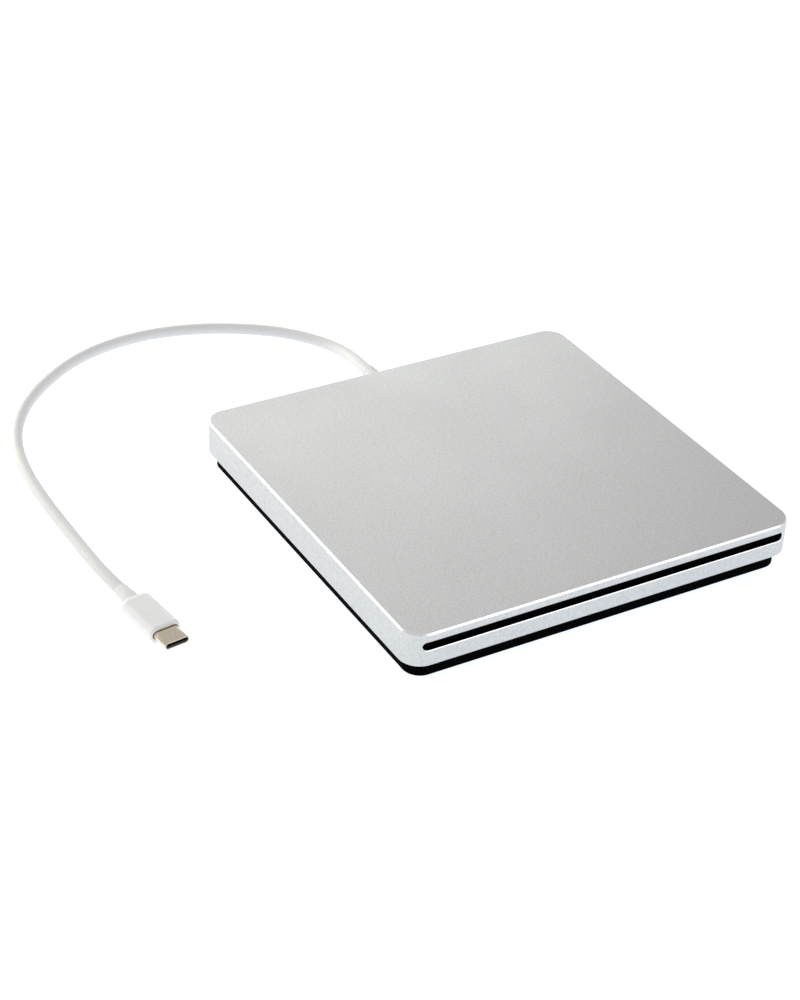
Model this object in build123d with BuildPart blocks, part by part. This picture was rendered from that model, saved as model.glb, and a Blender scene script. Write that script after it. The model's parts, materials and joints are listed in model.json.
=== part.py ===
"""Slim external optical drive with a slot front and a captive USB cable.

Millimetres. The origin is the centre of the footprint on the table, +Z is up, the disc slot
faces -Y, +X is to the right as the slot is faced. The drive stands empty: the spindle is down.
"""
from build123d import *
import os
from math import asin, atan2, cos, degrees, pi, radians, sin, sqrt, tan

os.makedirs("parts", exist_ok=True)

# ---- driving dimensions -------------------------------------------------------------------
width = 139.0               # square footprint of the aluminium shell
height = 17.0               # table to top face
corner_radius = 7.0         # upright corners of the shell
wall = 1.5                  # shell side wall
skin = 1.2                  # shell top
shell_bottom = 5.6          # lower edge of the shell
top_round = 0.65            # polished round along the top edge
edge_break = 0.15           # broken lower edge

slot_width = 130.2          # disc slot, round ended
slot_height = 2.9
slot_middle = 12.5

base_inset = 2.4            # black tray steps in from the shell
tray_bottom = 0.1           # underside of the tray
tray_break = 0.15           # broken edge round its underside
tray_floor = 2.4            # inner floor of the tray
tray_wall = 1.4
tray_rim = 7.2              # top of the tray wall
pad_size = 128.0            # silicone foot pad under the tray
pad_top = 1.2
pad_radius = 4.0
pad_round = 0.4

sheet = 0.8                 # sheet steel of the drive module
module_width = 126.0
module_front = -65.5
module_rear = 58.5
module_floor = 3.0          # underside of the module
module_top = 14.8           # top of the module's side walls
lip_top = 9.8               # front lip under the disc's path
deck_bottom = 9.0           # steel deck that carries the arms
board = 0.8                 # thickness of the circuit boards

disc_radius = 60.0
disc_centre = Vector(0, -4, 0)

spindle_lift = 2.2          # how far the spindle rises to take a disc
pivot_reach = 72.0          # spindle to traverse pivot
pivot_height = 7.75

gear_module = 0.5
pressure_angle = radians(25)
addendum = 0.8 * gear_module
dedendum = 1.1 * gear_module
tooth_pitch = pi * gear_module
tooth_share = 0.45          # tooth thickness over pitch, which leaves backlash
mesh_gap = 0.05             # extra centre distance

cable_diameter = 4.0

inner_half = width / 2 - wall
inner_radius = corner_radius - wall
tray_size = width - 2 * base_inset
tray_radius = corner_radius - tray_wall
module_depth = module_rear - module_front
module_middle = (module_rear + module_front) / 2
floor_top = module_floor + sheet
deck_top = deck_bottom + sheet


def save(piece, name):
    """Label a finished piece and write its STEP file."""
    piece.part.label = name
    export_step(piece.part, f"parts/{name}.step")


# ---- gear outlines ------------------------------------------------------------------------
def involute(angle):
    return tan(angle) - angle


def gear_points(teeth, phase):
    """Points round a spur gear with involute flanks; one tooth is centred on the phase angle."""
    pitch_radius = gear_module * teeth / 2
    base_radius = pitch_radius * cos(pressure_angle)
    root = pitch_radius - dedendum
    tip = pitch_radius + addendum
    start = max(root, base_radius)
    flank = [start + (tip - start) * step / 3 for step in range(4)]
    if root < base_radius:
        flank.insert(0, root)
    points = []
    for tooth in range(teeth):
        middle = phase + 2 * pi * tooth / teeth
        half_tooth = tooth_share * pi / teeth + involute(pressure_angle)
        for side, radii in ((-1, flank), (1, flank[::-1])):
            for radius in radii:
                roll = 0.0 if radius <= base_radius else sqrt((radius / base_radius) ** 2 - 1)
                turn = middle + side * (half_tooth - (roll - atan2(roll, 1)))
                points.append((radius * cos(turn), radius * sin(turn)))
    return points


def rack_points(pitch_line, first, count):
    """Points along a rack whose teeth point to +X, from the first tooth's middle along +Y."""
    half = tooth_share * tooth_pitch / 2
    tip_half = half - addendum * tan(pressure_angle)
    root_half = half + dedendum * tan(pressure_angle)
    points = []
    for tooth in range(count):
        middle = first + tooth * tooth_pitch
        points += [(pitch_line - dedendum, middle - root_half), (pitch_line + addendum, middle - tip_half)]
        points += [(pitch_line + addendum, middle + tip_half), (pitch_line - dedendum, middle + root_half)]
    return points


# ---- base tray, foot pad and shell --------------------------------------------------------
boss_places = [(-60.5, 63.5), (60.5, 63.5)]
cable_x = 2.0
cable_z = 8.0
neck_radius = 2.3
notch_gap = 0.05            # strain relief to the shell's notch
tab_places = [-42.0, 42.0]
tab_width = 8.0
tab_height = 1.6
hook_bottom = tray_rim + 0.4
hook_top = hook_bottom + 0.8
ledge_bottom = 6.0          # flange of the tray inside the shell
ledge_top = 6.8
ledge_gap = 0.25
boss_radius = 2.6
screw_radius = 0.8
screw_length = 9.0
hole_radius = 1.05
head_radius = 1.9
head_bottom = 1.25
head_top = 2.0
head_pocket = 2.1
cross_depth = 0.4
bridge_y = 62.4             # middle of the bridge board
bridge_bottom = 6.2

with BuildPart() as base_pad:
    with BuildSketch():
        RectangleRounded(pad_size, pad_size, pad_radius)
    extrude(amount=pad_top)
    fillet(base_pad.faces().sort_by(Axis.Z)[0].edges(), pad_round)
save(base_pad, "base_pad")

with BuildPart() as bottom_cover:
    with BuildSketch(Plane.XY.offset(tray_bottom)):
        RectangleRounded(tray_size, tray_size, tray_radius)
    extrude(amount=tray_rim - tray_bottom)
    chamfer(bottom_cover.faces().sort_by(Axis.Z)[0].edges(), tray_break)
    with BuildSketch(Plane.XY.offset(ledge_bottom)):
        ledge_size = 2 * (inner_half - ledge_gap)
        RectangleRounded(ledge_size, ledge_size, inner_radius - ledge_gap)
    extrude(amount=ledge_top - ledge_bottom)
    with BuildSketch(Plane.XY.offset(tray_floor)):
        RectangleRounded(tray_size - 2 * tray_wall, tray_size - 2 * tray_wall, tray_radius - tray_wall)
    extrude(amount=height, mode=Mode.SUBTRACT)
    with BuildSketch(Plane.XY.offset(tray_bottom)):
        RectangleRounded(pad_size, pad_size, pad_radius)
    extrude(amount=pad_top - tray_bottom, mode=Mode.SUBTRACT)
    with BuildSketch(Plane.XY.offset(tray_floor)):
        with Locations(*boss_places):
            Circle(boss_radius)
    extrude(amount=tray_rim - tray_floor)
    # snap tabs on the sides and at the front
    with BuildSketch(Plane.XY.offset(tray_rim)):
        with Locations(*[(x, -tray_size / 2 + 0.5) for x in tab_places]):
            Rectangle(tab_width, 1.0)
        with Locations(*[(side * (tray_size / 2 - 0.5), y) for side in (-1, 1) for y in tab_places]):
            Rectangle(1.0, tab_width)
    extrude(amount=tab_height)
    # their hooks
    with BuildSketch(Plane.XY.offset(hook_bottom)):
        with Locations(*[(x, -inner_half + 0.5) for x in tab_places]):
            Rectangle(tab_width, 1.5)
        with Locations(*[(side * (inner_half - 0.5), y) for side in (-1, 1) for y in tab_places]):
            Rectangle(1.5, tab_width)
    extrude(amount=hook_top - hook_bottom)
    # posts for the bridge board
    with BuildSketch(Plane.XY.offset(tray_floor)):
        with Locations((11, bridge_y), (53, bridge_y)):
            Circle(1.8)
    extrude(amount=bridge_bottom - tray_floor)
    # notch for the cable's strain relief
    with BuildSketch(Plane.XY.offset(cable_z - 2.9)):
        with Locations((cable_x, tray_size / 2)):
            Rectangle(8.4, 4.0)
    extrude(amount=height, mode=Mode.SUBTRACT)
    # screw holes with sunk heads, hidden by the foot pad
    with BuildSketch():
        with Locations(*boss_places):
            Circle(hole_radius)
    extrude(amount=height, mode=Mode.SUBTRACT)
    with BuildSketch():
        with Locations(*boss_places):
            Circle(head_pocket)
    extrude(amount=head_top, mode=Mode.SUBTRACT)
save(bottom_cover, "bottom_cover")

with BuildPart() as top_shell:
    with BuildSketch(Plane.XY.offset(shell_bottom)):
        RectangleRounded(width, width, corner_radius)
    extrude(amount=height - shell_bottom)
    fillet(top_shell.faces().sort_by(Axis.Z)[-1].edges(), top_round)
    chamfer(top_shell.faces().sort_by(Axis.Z)[0].edges(), edge_break)
    with BuildSketch(Plane.XY.offset(shell_bottom)):
        RectangleRounded(2 * inner_half, 2 * inner_half, inner_radius)
    extrude(amount=height - skin - shell_bottom, mode=Mode.SUBTRACT)
    # disc slot
    with BuildSketch(Plane.XZ.offset(width / 2 - 6)):
        with Locations((0, slot_middle)):
            SlotOverall(slot_width, slot_height)
    extrude(amount=12, mode=Mode.SUBTRACT)
    # notch for the cable at the back
    with BuildSketch(Plane.XZ.offset(-width / 2 - 1)):
        with Locations((cable_x, cable_z)):
            Circle(neck_radius + notch_gap)
        with Locations((cable_x, cable_z - 2)):
            Rectangle(2 * (neck_radius + notch_gap), 4)
    extrude(amount=4, mode=Mode.SUBTRACT)
    # pockets for the tray's hooks
    with BuildSketch(Plane.XY.offset(hook_bottom - 0.2)):
        with Locations(*[(x, -inner_half) for x in tab_places]):
            Rectangle(tab_width + 0.6, 0.7)
        with Locations(*[(side * inner_half, y) for side in (-1, 1) for y in tab_places]):
            Rectangle(0.7, tab_width + 0.6)
    extrude(amount=hook_top - hook_bottom + 0.4, mode=Mode.SUBTRACT)
    # screw bosses
    with BuildSketch(Plane.XY.offset(tray_rim)):
        with Locations(*boss_places):
            Circle(boss_radius)
            Circle(screw_radius, mode=Mode.SUBTRACT)
    extrude(amount=height - skin - tray_rim)
save(top_shell, "top_shell")

for number, place in enumerate(boss_places):
    with BuildPart() as cover_screw:
        with BuildSketch(Plane.XY.offset(head_bottom)):
            with Locations(place):
                Circle(head_radius)
        extrude(amount=head_top - head_bottom)
        with BuildSketch(Plane.XY.offset(head_top)):
            with Locations(place):
                Circle(screw_radius)
        extrude(amount=screw_length)
        with BuildSketch(Plane.XY.offset(head_bottom)):
            with Locations(place):
                Rectangle(2.2, 0.5)
                Rectangle(0.5, 2.2)
        extrude(amount=cross_depth, mode=Mode.SUBTRACT)
    save(cover_screw, ("cover_screw_left", "cover_screw_right")[number])

# ---- dust seal behind the slot ------------------------------------------------------------
seal_window = slot_width + 1.0
seal_bottom = slot_middle - 1.8
seal_top = slot_middle + 1.8
frame_bottom = 9.2
frame_top = 15.6
lip_gap = 0.06              # half the gap between the felt lips


def front_strip(outer_half, thickness, low, high):
    """A strip that follows the inside of the shell's front and its two front corners."""
    radius = inner_radius - (inner_half - outer_half)
    inner = outer_half - thickness
    with BuildPart() as strip:
        with BuildSketch(Plane.XY.offset(low)):
            RectangleRounded(2 * outer_half, 2 * outer_half, radius)
            RectangleRounded(2 * inner, 2 * inner, radius - thickness, mode=Mode.SUBTRACT)
            with Locations((0, -outer_half)):
                Rectangle(2 * outer_half + 1, 11, mode=Mode.INTERSECT)
        extrude(amount=high - low)
    return strip


with BuildPart() as seal_frame:
    add(front_strip(inner_half - 0.1, 1.5, frame_bottom, frame_top).part)
    with BuildSketch(Plane.XZ.offset(width / 2 - 6)):
        with Locations((0, slot_middle)):
            Rectangle(seal_window, seal_top - seal_bottom)
    extrude(amount=12, mode=Mode.SUBTRACT)
save(seal_frame, "seal_frame")

for name, low, high in (("dust_seal_lower", seal_bottom, slot_middle - lip_gap),
                        ("dust_seal_upper", slot_middle + lip_gap, seal_top)):
    with BuildPart() as dust_seal:
        add(front_strip(inner_half - 0.5, 0.7, low, high).part)
        with BuildSketch(Plane.XY.offset(low)):
            with Locations((0, -inner_half)):
                Rectangle(seal_window - 0.1, 20)
        extrude(amount=high - low, mode=Mode.INTERSECT)
    save(dust_seal, name)

# ---- drive module: chassis, cover, deck ---------------------------------------------------
along = Vector(-1, 1, 0).normalized()       # spindle towards the traverse pivot
across = Vector(-1, -1, 0).normalized()
lift_angle = degrees(asin(spindle_lift / pivot_reach))
pivot_point = disc_centre + along * pivot_reach + Vector(0, 0, pivot_height)
pivot_axis = Axis((0, 0, 0), across)
along_rest = along.rotate(pivot_axis, -lift_angle)
up_rest = Vector(0, 0, 1).rotate(pivot_axis, -lift_angle)
traverse_plane = Plane(
    origin=pivot_point - along_rest * pivot_reach - up_rest * pivot_height,
    x_dir=along_rest,
    z_dir=up_rest,
)

pad_places = {
    "front_left": (-52, -54),
    "front_right": (52, -54),
    "rear_left": (-52, 47),
    "rear_right": (52, 47),
}
post_places = [(-58.5, -58), (58.5, -60), (58.5, 10), (58.5, 54), (0, 53), (10, -60), (-58.5, 4)]
arm_pivots = {"eject": (54, 44), "right": (57.5, -24), "left": (-57.5, -24)}
bracket_places = [-51.0, -15.0]
side_screw_places = [-46.0, 38.0]
side_screw_z = 13.6
side_screw_radius = 0.7
post_radius = 2.0
post_screw_radius = 0.75
well_radius = 18.0
axle_height = 4.3
worm_bearing_top = 8.2
guide_height = 1.3
ear_places = [8.0, -11.5]
ear_width = 3.5
bush_radius = 1.8
socket_place = (41.0, 8.1)  # middle of the connector pair across the back

slider_x = 33.0             # inner face of the cam slider
slider_sheet = 1.4
rack_pitch_x = 38.3
idler_centre = (rack_pitch_x + 2.5 + mesh_gap, -26.0)
wheel_turn = radians(-55)
wheel_distance = 9.0 + mesh_gap
wheel_centre = (
    idler_centre[0] + wheel_distance * cos(wheel_turn),
    idler_centre[1] + wheel_distance * sin(wheel_turn),
)
worm_radius = 1.8
worm_x = wheel_centre[0] + 5.0 + worm_radius + mesh_gap
worm_z = 6.6
axle_radius = 0.8
gear_bore = 0.86
bearing_bore = 0.56         # radius of the holes that the worm and the lead screw turn in
pivot_pin_radius = 0.8
board_bottom = 4.2
arm_step = 1.1              # height of an arm rivet's shank
rivet_radius = 1.2

for name, place in pad_places.items():
    with BuildPart() as shock_pad:
        with BuildSketch(Plane.XY.offset(tray_floor)):
            with Locations(place):
                RectangleRounded(14, 10, 1)
        extrude(amount=module_floor - tray_floor)
    save(shock_pad, f"shock_pad_{name}")


def ear_plane(distance):
    """Upright plane across the traverse pivot, with its x towards the spindle."""
    return Plane(origin=pivot_point + across * distance, x_dir=-along, z_dir=across)


with BuildPart() as lower_chassis:
    with BuildSketch(Plane.XY.offset(module_floor)):
        with Locations((0, module_middle)):
            RectangleRounded(module_width, module_depth, 2)
    extrude(amount=module_top - module_floor)
    with BuildSketch(Plane.XY.offset(floor_top)):
        with Locations((0, module_middle)):
            RectangleRounded(module_width - 2 * sheet, module_depth - 2 * sheet, 2 - sheet)
    extrude(amount=module_top, mode=Mode.SUBTRACT)
    # the front stays open above the lip
    with BuildSketch(Plane.XY.offset(lip_top)):
        with Locations((0, module_front)):
            Rectangle(2 * disc_radius + 3, 8)
    extrude(amount=6, mode=Mode.SUBTRACT)
    # well under the spindle, and a row of stiffening slots
    with BuildSketch(Plane.XY.offset(module_floor - 0.5)):
        with Locations((disc_centre.X, disc_centre.Y)):
            Circle(well_radius)
        with Locations((22, 22), (30, 34), (8, 40)):
            SlotOverall(16, 4, rotation=45)
    extrude(amount=1.6, mode=Mode.SUBTRACT)
    # deck posts
    with BuildSketch(Plane.XY.offset(module_floor)):
        with Locations(*post_places):
            Circle(post_radius)
    extrude(amount=deck_bottom - module_floor)
    # stand-offs under the drive board
    with BuildSketch(Plane.XY.offset(floor_top)):
        with Locations((-12, -56), (-12, -42), (-54, -8), (-54, -48)):
            Circle(1.6)
    extrude(amount=board_bottom - floor_top)
    # gear axles, worm bearing and slider guides
    with BuildSketch(Plane.XY.offset(floor_top)):
        with Locations(idler_centre, wheel_centre):
            Circle(axle_radius)
    extrude(amount=axle_height)
    with BuildSketch(Plane.XZ.offset(26.4)):
        with Locations((worm_x, (floor_top + worm_bearing_top) / 2)):
            Rectangle(3.4, worm_bearing_top - floor_top)
        with Locations((worm_x, worm_z)):
            Circle(bearing_bore, mode=Mode.SUBTRACT)
    extrude(amount=1.0)
    with BuildSketch(Plane.XY.offset(floor_top)):
        with Locations((slider_x - 0.6, -36), (slider_x - 0.6, 12)):
            Rectangle(0.8, 8)
        with Locations((slider_x + slider_sheet + 0.6, -4), (slider_x + slider_sheet + 0.6, 24)):
            Rectangle(0.8, 8)
    extrude(amount=guide_height)
    # ears for the traverse pivot
    for distance in ear_places:
        with BuildSketch(ear_plane(distance)):
            with Locations((0, -1.0)):
                Rectangle(5.0, 6.8)
        extrude(amount=ear_width)
        with BuildSketch(ear_plane(distance - 0.5)):
            Circle(bush_radius)
        extrude(amount=ear_width + 1, mode=Mode.SUBTRACT)
    # post screw holes, side screw holes, connector opening
    with BuildSketch(Plane.XY.offset(4.5)):
        with Locations(*post_places):
            Circle(post_screw_radius)
    extrude(amount=8, mode=Mode.SUBTRACT)
    with BuildSketch(Plane.YZ.offset(-module_width)):
        with Locations(*[(y, side_screw_z) for y in side_screw_places]):
            Circle(side_screw_radius)
    extrude(amount=2 * module_width, mode=Mode.SUBTRACT)
    with BuildSketch(Plane.XZ.offset(-module_rear - 2)):
        with Locations(socket_place):
            Rectangle(23, 2.4)
    extrude(amount=4, mode=Mode.SUBTRACT)
save(lower_chassis, "lower_chassis")

for number, distance in enumerate(ear_places):
    with BuildPart() as pivot_bush:
        with BuildSketch(ear_plane(distance)):
            Circle(bush_radius)
            Circle(pivot_pin_radius + 0.06, mode=Mode.SUBTRACT)
        extrude(amount=ear_width)
    save(pivot_bush, ("pivot_bush_left", "pivot_bush_rear")[number])

with BuildPart() as arm_deck:
    with BuildSketch(Plane.XY.offset(deck_bottom)):
        with Locations((0, module_middle)):
            RectangleRounded(module_width - 2 * sheet - 0.4, module_depth - 2 * sheet - 0.6, 1)
        # opening over the traverse, out to the rear left corner
        with BuildLine():
            Polyline(*[disc_centre + along * x + across * y for x, y in
                       ((-18, -26), (110, -26), (110, 28), (-18, 28))], close=True)
        make_face(mode=Mode.SUBTRACT)
        # opening over the loading motor
        with Locations((worm_x, -50)):
            Rectangle(9.4, 15.4, mode=Mode.SUBTRACT)
        with Locations(*post_places):
            Circle(post_screw_radius + 0.1, mode=Mode.SUBTRACT)
    extrude(amount=sheet)
    # rivets that the arms turn on
    with BuildSketch(Plane.XY.offset(deck_top)):
        with Locations(*arm_pivots.values()):
            Circle(rivet_radius)
    extrude(amount=arm_step)
    with BuildSketch(Plane.XY.offset(deck_top + arm_step)):
        with Locations(*arm_pivots.values()):
            Circle(2.0)
    extrude(amount=0.4)
save(arm_deck, "arm_deck")

with BuildPart() as deck_screws:
    with BuildSketch(Plane.XY.offset(deck_top)):
        with Locations(*post_places):
            Circle(1.6)
    extrude(amount=0.6)
    with BuildSketch(Plane.XY.offset(deck_top)):
        with Locations(*post_places):
            Circle(post_screw_radius)
    extrude(amount=-3.5)
save(deck_screws, "deck_screws")

cover_bottom = 12.4
cover_top = 15.4
ring_depth = 0.4            # how far the clamping ring is pressed down
ring_outer = 24.0
ring_inner = 17.0
with BuildPart() as upper_cover:
    with BuildSketch(Plane.XY.offset(cover_bottom)):
        with Locations((0, module_middle + 0.25)):
            RectangleRounded(module_width + 1.0, module_depth + 0.5, 2.4)
    extrude(amount=cover_top - cover_bottom)
    with BuildSketch(Plane.XY.offset(cover_bottom)):
        with Locations((0, module_middle)):
            RectangleRounded(module_width + 0.1, module_depth + 0.1, 2.1)
        with Locations((0, module_front)):
            Rectangle(module_width + 2, 8)
    extrude(amount=module_top + 0.1 - cover_bottom, mode=Mode.SUBTRACT)
    # clamping ring pressed down over the spindle
    with BuildSketch(Plane.XY.offset(module_top - ring_depth)):
        with Locations((disc_centre.X, disc_centre.Y)):
            Circle(ring_outer)
            Circle(ring_inner, mode=Mode.SUBTRACT)
    extrude(amount=0.6)
    with BuildSketch(Plane.XY.offset(module_top)):
        with Locations((disc_centre.X, disc_centre.Y)):
            Circle(ring_outer - sheet)
            Circle(ring_inner + sheet, mode=Mode.SUBTRACT)
    extrude(amount=1, mode=Mode.SUBTRACT)
    with BuildSketch(Plane.YZ.offset(-module_width)):
        with Locations(*[(y, side_screw_z) for y in side_screw_places]):
            Circle(side_screw_radius)
    extrude(amount=2 * module_width, mode=Mode.SUBTRACT)
save(upper_cover, "upper_cover")

with BuildPart() as module_screws:
    for side in (-1, 1):
        for y in side_screw_places:
            head_plane = Plane(origin=(side * 63.5, y, side_screw_z), z_dir=(side, 0, 0))
            with BuildSketch(head_plane):
                Circle(1.15)
            extrude(amount=0.5)
            with BuildSketch(head_plane):
                Circle(side_screw_radius)
            extrude(amount=-1.3)
save(module_screws, "module_screws")

for number, x in enumerate(bracket_places):
    with BuildPart() as rear_bracket:
        with BuildSketch(Plane.YZ.offset(x - 4)):
            with BuildLine():
                Polyline((module_rear, tray_floor), (65.3, tray_floor), (65.3, tray_floor + sheet),
                         (module_rear + sheet, tray_floor + sheet), (module_rear + sheet, 9.4),
                         (module_rear, 9.4), close=True)
            make_face()
        extrude(amount=8)
        with BuildSketch(Plane.XY.offset(2)):
            with Locations((x, 62.6)):
                Circle(0.8)
        extrude(amount=2, mode=Mode.SUBTRACT)
    save(rear_bracket, ("rear_bracket_left", "rear_bracket_middle")[number])

# ---- traverse: frame, rods, motors --------------------------------------------------------
rod_radius = 1.1
rod_y = 15.5
rod_z = 8.9
plate_bottom = 6.8
plate_top = 7.8
screw_y = 21.0
screw_z = 9.2
near_bearing = 5.6
far_bearing = 60.6
bearing_width = 1.2
rod_start = 11.2
rod_length = 57.1
lens_x = 24.0


def rod_plane(x, y, z):
    """Plane square to the guide rods, through a point of the traverse."""
    return Plane(
        origin=traverse_plane.from_local_coords(Vector(x, y, z)),
        x_dir=traverse_plane.y_dir,
        z_dir=traverse_plane.x_dir,
    )


cam_pin_radius = 0.6
cam_pin_y = 1.7
cam_pin_start = Vector(24.5, cam_pin_y, pivot_height) - disc_centre
cam_pin_local = (cam_pin_start.dot(along), cam_pin_start.dot(across))
cam_pin_direction = Vector(1, 0, 0).rotate(pivot_axis, -lift_angle)
cam_pin_root = traverse_plane.from_local_coords(Vector(*cam_pin_local, pivot_height))

with BuildPart() as traverse_frame:
    with BuildSketch(traverse_plane.offset(plate_bottom)):
        with BuildLine():
            Polyline((-16, -24), (61, -24), (68.4, -17), (68.4, -7), (71, -7), (71, 7), (68.4, 7),
                     (68.4, 17.4), (59.6, 26), (-16, 26), close=True)
        make_face()
        Circle(12.8, mode=Mode.SUBTRACT)
        with Locations((40.2, 0)):
            Rectangle(52, 37.6, mode=Mode.SUBTRACT)
        with Locations((-1.6, screw_y)):
            Rectangle(13.6, 5.0, mode=Mode.SUBTRACT)
    extrude(amount=plate_top - plate_bottom)
    # seats at both ends of the guide rods
    with BuildSketch(traverse_plane.offset(plate_bottom)):
        with Locations((12.2, rod_y), (12.2, -rod_y), (67.3, rod_y), (67.3, -rod_y)):
            Rectangle(2.0, 3.4)
    extrude(amount=3.5)
    # bearings of the lead screw
    with BuildSketch(traverse_plane.offset(plate_bottom)):
        with Locations((near_bearing, screw_y), (far_bearing, screw_y)):
            Rectangle(bearing_width, 4.8)
    extrude(amount=4.1)
    # pivot barrel and pins
    with BuildSketch(ear_plane(-7)):
        Circle(1.5)
    extrude(amount=14)
    with BuildSketch(ear_plane(-12)):
        Circle(pivot_pin_radius)
    extrude(amount=24)
    # cam pin on its boss
    with BuildSketch(traverse_plane.offset(plate_bottom)):
        with Locations(cam_pin_local):
            Rectangle(3.6, 3.6)
    extrude(amount=1.8)
    with BuildSketch(Plane(origin=cam_pin_root, z_dir=cam_pin_direction)):
        Circle(cam_pin_radius)
    extrude(amount=9.6)
    for y in (rod_y, -rod_y):
        with BuildSketch(rod_plane(rod_start, y, rod_z)):
            Circle(rod_radius)
        extrude(amount=rod_length, mode=Mode.SUBTRACT)
    with BuildSketch(rod_plane(near_bearing - 1, screw_y, screw_z)):
        Circle(bearing_bore)
    extrude(amount=far_bearing - near_bearing + 2, mode=Mode.SUBTRACT)
save(traverse_frame, "traverse_frame")

for name, y in (("guide_rod_left", rod_y), ("guide_rod_rear", -rod_y)):
    with BuildPart() as guide_rod:
        with BuildSketch(rod_plane(rod_start, y, rod_z)):
            Circle(rod_radius)
        extrude(amount=rod_length)
    save(guide_rod, name)

stator_bottom = 6.3
stator_core = 7.7
shaft_radius = 1.0
can_bottom = 7.3
can_top = 10.6
can_radius = 12.0
can_wall = 0.9
table_radius = 14.0
table_top = 11.6
groove_bottom = 11.4        # groove that holds the rubber ring
ring_radii = (13.4, 10.8)
hub_radius = 7.4
hub_top = 13.4

with BuildPart() as spindle_stator:
    with BuildSketch(traverse_plane.offset(stator_bottom)):
        Circle(table_radius + 0.2)
        with Locations((-13, 0)):
            Rectangle(6, 10)
    extrude(amount=plate_bottom - stator_bottom)
    with BuildSketch(traverse_plane.offset(plate_bottom)):
        Circle(3.0)
    extrude(amount=2.6)
    with BuildSketch(traverse_plane.offset(stator_core)):
        Circle(5.0)
        with PolarLocations(6.8, 9):
            Rectangle(6.0, 1.6)
        with PolarLocations(9.6, 9):
            RectangleRounded(1.2, 4.6, 0.3)
    extrude(amount=1.5)
    with BuildSketch(traverse_plane.offset(stator_bottom + 0.2)):
        Circle(shaft_radius + 0.06)
    extrude(amount=4, mode=Mode.SUBTRACT)
save(spindle_stator, "spindle_stator")

with BuildPart() as rotor_can:
    with BuildSketch(traverse_plane.offset(can_bottom)):
        Circle(can_radius)
    extrude(amount=can_top - can_bottom)
    with BuildSketch(traverse_plane.offset(can_bottom)):
        Circle(can_radius - can_wall)
    extrude(amount=2.5, mode=Mode.SUBTRACT)
    with BuildSketch(traverse_plane.offset(can_top)):
        Circle(shaft_radius)
    extrude(amount=-4.0)
save(rotor_can, "rotor_can")

with BuildPart() as turntable:
    with BuildSketch(traverse_plane.offset(can_top)):
        Circle(table_radius)
    extrude(amount=table_top - can_top)
    with BuildSketch(traverse_plane.offset(groove_bottom)):
        Circle(ring_radii[0])
        Circle(ring_radii[1], mode=Mode.SUBTRACT)
    extrude(amount=table_top - groove_bottom, mode=Mode.SUBTRACT)
save(turntable, "turntable")

with BuildPart() as turntable_ring:
    with BuildSketch(traverse_plane.offset(groove_bottom)):
        Circle(ring_radii[0])
        Circle(ring_radii[1], mode=Mode.SUBTRACT)
    extrude(amount=0.5)
save(turntable_ring, "turntable_ring")

with BuildPart() as disc_hub:
    with BuildSketch(traverse_plane.offset(table_top)):
        Circle(hub_radius)
    extrude(amount=hub_top - table_top)
    chamfer(disc_hub.faces().sort_by(Axis(traverse_plane.origin, traverse_plane.z_dir))[-1].edges(), 0.6)
    # jaws that catch the disc's hole
    with BuildSketch(traverse_plane.offset(table_top + 0.7)):
        with PolarLocations(hub_radius - 0.4, 3):
            Rectangle(1.4, 2.2)
    extrude(amount=0.5)
    with BuildSketch(traverse_plane.offset(hub_top - 0.8)):
        Circle(3.2)
    extrude(amount=1, mode=Mode.SUBTRACT)
save(disc_hub, "disc_hub")

with BuildPart() as sled_motor:
    with BuildSketch(rod_plane(-8, screw_y, screw_z)):
        Circle(2.0)
    extrude(amount=13)
    with BuildSketch(rod_plane(0, screw_y, screw_z)):
        Circle(bearing_bore)
    extrude(amount=6, mode=Mode.SUBTRACT)
save(sled_motor, "sled_motor")

lead = 3.0
thread_start = 8.0
thread_turns = 17
screw_start = 1.0
core_start = near_bearing + bearing_width / 2 + 0.2
core_end = far_bearing - bearing_width / 2 - 0.2
journal_radius = 0.5        # ends of the lead screw and the worm
core_radius = 0.95
screw_thread = Plane(
    origin=rod_plane(thread_start, screw_y, screw_z).origin,
    x_dir=-traverse_plane.y_dir,
    z_dir=traverse_plane.x_dir,
) * Helix(pitch=lead, height=thread_turns * lead, radius=0.85)
with BuildPart() as lead_screw:
    with BuildSketch(rod_plane(screw_start, screw_y, screw_z)):
        Circle(journal_radius)
    extrude(amount=far_bearing + bearing_width / 2 - screw_start)
    with BuildSketch(rod_plane(core_start, screw_y, screw_z)):
        Circle(core_radius)
    extrude(amount=core_end - core_start)
    with BuildSketch(Plane(origin=screw_thread @ 0, x_dir=-traverse_plane.y_dir, z_dir=screw_thread % 0)):
        with Locations((0.2, 0)):
            Rectangle(0.5, 0.8)
    sweep(path=screw_thread, is_frenet=True)
save(lead_screw, "lead_screw")

# ---- pickup -------------------------------------------------------------------------------
pickup_bottom = 6.2
pickup_height = 4.2
lens_well = 7.4
holder_bottom = 8.4
holder_top = 10.6
lens_radius = 1.9
with BuildPart() as pickup_body:
    with BuildSketch(traverse_plane.offset(pickup_bottom)):
        with Locations((23, 0)):
            RectangleRounded(16, 26, 1)
        with Locations((24.5, 15.0)):
            Rectangle(13, 6.0)
        with Locations((24, -15.0)):
            Rectangle(6, 6.0)
    extrude(amount=pickup_height)
    # follower that reaches into the lead screw's thread
    with BuildSketch(traverse_plane.offset(8.7)):
        with Locations((24.5, 18.6)):
            Rectangle(0.7, 2.4)
    extrude(amount=1.0)
    with BuildSketch(traverse_plane.offset(lens_well)):
        with Locations((lens_x, 0)):
            RectangleRounded(9, 14, 1)
    extrude(amount=6, mode=Mode.SUBTRACT)
    for y in (rod_y, -rod_y):
        with BuildSketch(rod_plane(10, y, rod_z)):
            Circle(rod_radius + 0.06)
        extrude(amount=40, mode=Mode.SUBTRACT)
save(pickup_body, "pickup_body")

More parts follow.
